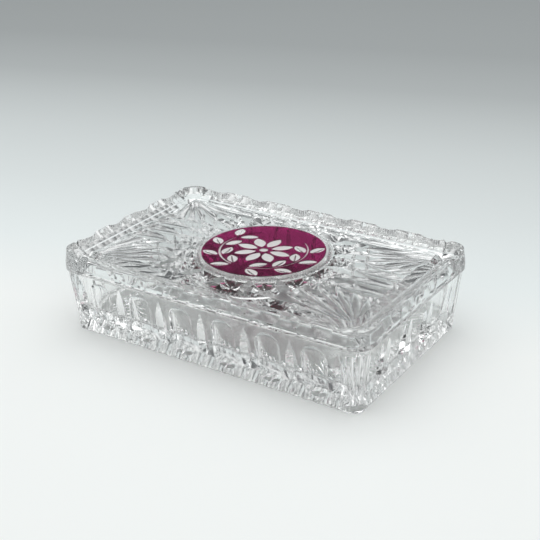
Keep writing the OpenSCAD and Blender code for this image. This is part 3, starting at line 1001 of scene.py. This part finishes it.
def cut_star_ring(lid, tools):
    """The ring of stars with its collar of points, and the channel inside it."""
    on_field = Matrix.Translation((0, 0, FIELD_Z * MM))
    star = kept(tools, wheel_cut("star", STAR_RING_W, STAR_W, STAR_D), on_field)
    long_star = kept(tools, wheel_cut("long star", STAR_RING_W + STAR_LONGER, STAR_W,
                                      STAR_D), on_field)
    step = 2 * pi / STARS
    for tool, turn in ((star, 0), (long_star, -STAR_SLANT), (long_star, STAR_SLANT),
                       (star, 90)):
        carve(lid, RINGS, tool, crystal, count=STARS, radius=STAR_MID, first=step / 2,
              step=step, own_turn=radians(turn))
    collar = kept(tools, wheel_cut("collar", COLLAR_L, COLLAR_W, COLLAR_D), on_field)
    points = 2 * STARS
    carve(lid, RINGS, collar, crystal, count=points, first=pi / points, step=2 * pi / points,
          radius=STAR_OUT + COLLAR_L / 2 - COLLAR_OVERLAP, own_turn=0)
    foot_z = FIELD_Z - CHANNEL_D
    channel = kept(tools, ring_cut("channel", [
        (MED_R - 1, FIELD_Z + 1), (MED_R - 1, foot_z), (MED_R, foot_z),
        (MED_R + CHANNEL_W, FIELD_Z + 1)]))
    carve_once(lid, channel, crystal)


def add_medallion(lid, tools):
    """Melts the raised disc into the lid and rounds its edge over."""
    joined(lid, kept(tools, medallion_blank()))
    carve_once(lid, kept(tools, medallion_roll()), ground)


def engrave_motif(lid, tools):
    """The flower and the two sprays, engraved in the glass under the ruby."""
    on_glass = shift(0, 0, RUBY_Z)
    petal = kept(tools, wheel_cut("petal", PETAL_L, PETAL_W, PETAL_D, start=0,
                                  rib=PETAL_RIB), on_glass)
    carve_petals(lid, petal, satin)
    leaf = kept(tools, wheel_cut("leaf", SIDE_LEAF_L, LEAF_W, LEAF_D, start=0,
                                 rib=LEAF_RIB), on_glass)
    carve_sprays(lid, leaf, satin)
    for mirrored in (False, True):
        stem = kept(tools, stem_band("stem", RUBY_Z - STEM_D, RUBY_Z + MOTIF_ABOVE, mirrored))
        carve_once(lid, stem, satin)
    vein = kept(tools, wheel_cut("vein", VEIN_L, VEIN_W, VEIN_D, start=VEIN_FROM),
                shift(0, 0, RUBY_Z - VEIN_SINK))
    carve_sprays(lid, vein, crystal)
    eye = kept(tools, round_bar("eye", EYE_R, RUBY_Z - EYE_D, RUBY_Z + MOTIF_ABOVE,
                                EYE_STEPS))
    carve_once(lid, eye, satin)


def nick_roll(lid, tools):
    """The fine slanting nicks in the medallion's roll."""
    nick = kept(tools, wheel_cut("nick", NICK_L, NICK_W, NICK_D),
                Matrix.Translation((-NICK_IN * MM, 0, (RUBY_Z - NICK_SINK) * MM))
                @ spin(NICK_SLANT, "X")
                @ spin(pi / 2, "Y"))
    carve(lid, RINGS, nick, ground, count=ROPE_NICKS, radius=MED_R, first=0,
          step=2 * pi / ROPE_NICKS, own_turn=0)


def make_lid():
    """The lid, with its cut bevel, field, star ring and medallion."""
    lid = lid_blank()
    tools = []
    cut_lid_edge(lid, tools)
    cut_field(lid, tools)
    cut_star_ring(lid, tools)
    add_medallion(lid, tools)
    engrave_motif(lid, tools)
    nick_roll(lid, tools)
    polished(lid)
    drop(tools)
    return lid


# ---------------------------------------------------------------------------
# Ruby skin
# ---------------------------------------------------------------------------
def make_ruby():
    """The thin ruby layer on the medallion, with the motif cut through it."""
    low = RUBY_Z - RUBY_SINK
    skin = as_object("ruby_medallion", loft([
        circle_outline(RUBY_R, low), circle_outline(RUBY_R, MED_Z - RUBY_EDGE),
        circle_outline(RUBY_R - RUBY_EDGE, MED_Z)]), ruby)
    tools = []
    ends = (low - PLUG_PAST, MED_Z + PLUG_PAST)
    carve_petals(skin, kept(tools, leaf_plug("petal plug", PETAL_L, PETAL_W, *ends)), ruby)
    carve_sprays(skin, kept(tools, leaf_plug("leaf plug", SIDE_LEAF_L, LEAF_W, *ends)), ruby)
    carve_once(skin, kept(tools, round_bar("eye plug", EYE_R, *ends, EYE_STEPS)), ruby)
    for mirrored in (False, True):
        carve_once(skin, kept(tools, stem_band("stem plug", *ends, mirrored)), ruby)
    polished(skin)
    drop(tools)
    return skin


tray = make_tray()
lid = make_lid()
skin = make_ruby()

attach(tray, "base_body")
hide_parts("base")
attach(lid, "lid_body")
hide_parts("lid")
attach(skin, "lid_body")
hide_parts("ruby_layer")


# ---------------------------------------------------------------------------
# Floor, light and camera, in metres
# ---------------------------------------------------------------------------
FLOOR_REACH = 4.0
FLOOR_Z = -0.00005
PALE = (0.85, 0.87, 0.86)
# Painted shade: the floor's colour grows darker with distance along this way, in place of light that
# falls off; the darker steps also lose a little red and gain a little blue.
AWAY = (-0.276, 0.961, 0.0)  # the way in which the floor grows darker
# distance along that way, and the share of the pale colour that is left there
PAINTED_SHADE_FADE = [(0.08, 0.92), (0.18, 0.81), (0.30, 0.70), (0.38, 0.61), (0.47, 0.50), (0.62, 0.42),
        (0.90, 0.40)]
LESS_RED = 0.965
MORE_BLUE = 0.01
# Painted light: the floor also glows with its own colour, by this share where the camera sees it and
# by the smaller share where glass reflects or lets it through, so its shade looks lighter.
GLOW = 0.3
GLOW_IN_GLASS = 0.1

OVERHEAD = {"place": (-0.05, 0.05, 1.2), "size": 1.6, "watts": 7.8}
LEFT_STRIP = {"place": (-0.65, -1.05, 0.30), "size": 0.10, "watts": 0.2, "size_y": 0.6}
LAMP_TARGET = (0, 0, 0.02)

ROOM = (0.10, 0.105, 0.11)
CEILING = (0.90, 0.92, 0.92)
CEILING_FROM = 0.24
CEILING_FULL = 0.60
DIM = (0.09, 0.095, 0.10)
# direction of a dim patch, and the closeness to it at which it starts and is full
DOORWAY = ((-0.50, 0.76, 0.42), 0.93, 0.985)
BEHIND = ((0.50, -0.76, 0.42), 0.90, 0.98)
BACKDROP = (0.45, 0.48, 0.49)

AZIMUTH = radians(33.555)
ELEVATION = radians(24.561)
TILT = radians(-1.064)
CAMERA_PLACE = (0.285470, -0.425006, 0.266068)
SENSOR_W = 36
FOCAL_PX = 1100
PHOTO_PX = 540


def make_floor():
    """A pale tabletop that runs out past the view, with painted shade that darkens it with distance
    and a painted glow where the camera or the glass shows it.
    """
    mesh = bmesh.new()
    corners = [(-1, -1), (1, -1), (1, 1), (-1, 1)]
    mesh.faces.new([mesh.verts.new((x * FLOOR_REACH, y * FLOOR_REACH, FLOOR_Z))
                    for x, y in corners])
    data = bpy.data.meshes.new("floor")
    mesh.to_mesh(data)
    mesh.free()
    floor = bpy.data.objects.new("floor", data)
    bpy.context.scene.collection.objects.link(floor)
    material = bpy.data.materials.new("pale tabletop")
    material.use_nodes = True
    shader = material.node_tree.nodes["Principled BSDF"]
    shader.inputs["Roughness"].default_value = 0.9
    nodes = material.node_tree.nodes
    links = material.node_tree.links
    place = nodes.new("ShaderNodeTexCoord")
    along = add_node(nodes, "ShaderNodeVectorMath", {1: AWAY}, operation="DOT_PRODUCT")
    links.new(place.outputs["Object"], along.inputs[0])
    tones = nodes.new("ShaderNodeValToRGB")
    links.new(along.outputs["Value"], tones.inputs["Fac"])
    steps = tones.color_ramp
    steps.elements.remove(steps.elements[0])
    steps.elements[0].position = 0.0
    steps.elements[0].color = (*PALE, 1)
    # painted shade: each step darkens the pale colour by its share
    for distance, share in PAINTED_SHADE_FADE:
        step = steps.elements.new(distance)
        step.color = (PALE[0] * share * LESS_RED, PALE[1] * share,
                      PALE[2] * (share + MORE_BLUE), 1)
    links.new(tones.outputs["Color"], shader.inputs["Base Color"])
    # painted light: an emission in the floor's colour, mixed in where the camera or the glass sees the
    # floor
    glow = nodes.new("ShaderNodeEmission")
    links.new(tones.outputs["Color"], glow.inputs["Color"])
    path = nodes.new("ShaderNodeLightPath")
    seen = None
    for kind, glow_share in (("Is Camera Ray", GLOW), ("Is Glossy Ray", GLOW_IN_GLASS),
                             ("Is Transmission Ray", GLOW_IN_GLASS)):
        part = add_node(nodes, "ShaderNodeMath", {1: glow_share}, operation="MULTIPLY")
        links.new(path.outputs[kind], part.inputs[0])
        if seen is None:
            seen = part.outputs[0]
            continue
        either = add_node(nodes, "ShaderNodeMath", operation="MAXIMUM")
        links.new(seen, either.inputs[0])
        links.new(part.outputs[0], either.inputs[1])
        seen = either.outputs[0]
    mix = nodes.new("ShaderNodeMixShader")
    links.new(seen, mix.inputs[0])
    links.new(shader.outputs[0], mix.inputs[1])
    links.new(glow.outputs[0], mix.inputs[2])
    links.new(mix.outputs[0], nodes["Material Output"].inputs["Surface"])
    data.materials.append(material)


def make_lamp(name, place, size, watts, size_y=None):
    """A wide, soft lamp that faces the object."""
    light = bpy.data.lights.new(name, "AREA")
    light.energy = watts
    light.size = size
    if size_y:
        light.shape = "RECTANGLE"
        light.size_y = size_y
    lamp = bpy.data.objects.new(name, light)
    lamp.location = place
    aim = Vector(LAMP_TARGET) - Vector(place)
    lamp.rotation_euler = aim.to_track_quat("-Z", "Y").to_euler()
    bpy.context.scene.collection.objects.link(lamp)


def make_world():
    """A room that is dim round the table and bright overhead, with two dim patches."""
    world = bpy.data.worlds.new("room")
    bpy.context.scene.world = world
    world.use_nodes = True
    nodes = world.node_tree.nodes
    links = world.node_tree.links
    sky = nodes["Background"]
    place = nodes.new("ShaderNodeTexCoord")
    height = nodes.new("ShaderNodeSeparateXYZ")
    links.new(place.outputs["Generated"], height.inputs[0])
    rise = add_node(nodes, "ShaderNodeMapRange",
                    {"From Min": CEILING_FROM, "From Max": CEILING_FULL},
                    interpolation_type="SMOOTHSTEP")
    links.new(height.outputs["Z"], rise.inputs["Value"])
    blend = add_node(nodes, "ShaderNodeMix", {"A": (*ROOM, 1), "B": (*CEILING, 1)},
                     data_type="RGBA")
    links.new(rise.outputs["Result"], blend.inputs["Factor"])
    room = blend.outputs["Result"]
    for direction, start, full in (DOORWAY, BEHIND):
        towards = add_node(nodes, "ShaderNodeVectorMath", {1: direction},
                           operation="DOT_PRODUCT")
        links.new(place.outputs["Generated"], towards.inputs[0])
        edge = add_node(nodes, "ShaderNodeMapRange", {"From Min": start, "From Max": full},
                        interpolation_type="SMOOTHSTEP")
        links.new(towards.outputs["Value"], edge.inputs["Value"])
        mix = add_node(nodes, "ShaderNodeMix", {"B": (*DIM, 1)}, data_type="RGBA")
        links.new(room, mix.inputs["A"])
        links.new(edge.outputs["Result"], mix.inputs["Factor"])
        room = mix.outputs["Result"]
    path = nodes.new("ShaderNodeLightPath")
    backdrop = add_node(nodes, "ShaderNodeMix", {"B": (*BACKDROP, 1)}, data_type="RGBA")
    links.new(path.outputs["Is Camera Ray"], backdrop.inputs["Factor"])
    links.new(room, backdrop.inputs["A"])
    links.new(backdrop.outputs["Result"], sky.inputs["Color"])
    sky.inputs["Strength"].default_value = 1.0


def make_camera():
    """The camera at the photograph's place."""
    back = Vector((sin(AZIMUTH) * cos(ELEVATION), -cos(AZIMUTH) * cos(ELEVATION),
                   sin(ELEVATION)))
    right = (-back).cross(Vector((0, 0, 1))).normalized()
    up = right.cross(-back)
    across = cos(TILT) * right + sin(TILT) * up
    upward = -sin(TILT) * right + cos(TILT) * up
    data = bpy.data.cameras.new("camera")
    data.sensor_width = SENSOR_W
    data.lens = SENSOR_W * FOCAL_PX / PHOTO_PX
    data.clip_start = 0.01
    camera = bpy.data.objects.new("camera", data)
    matrix = Matrix((across, upward, back)).transposed().to_4x4()
    matrix.translation = Vector(CAMERA_PLACE)
    camera.matrix_world = matrix
    bpy.context.scene.collection.objects.link(camera)
    bpy.context.scene.camera = camera


make_floor()
make_lamp("overhead box", **OVERHEAD)
make_lamp("left strip", **LEFT_STRIP)
make_world()
make_camera()

scene = bpy.context.scene
scene.view_settings.view_transform = "Standard"
scene.cycles.max_bounces = 32
scene.cycles.transmission_bounces = 32
scene.cycles.glossy_bounces = 12
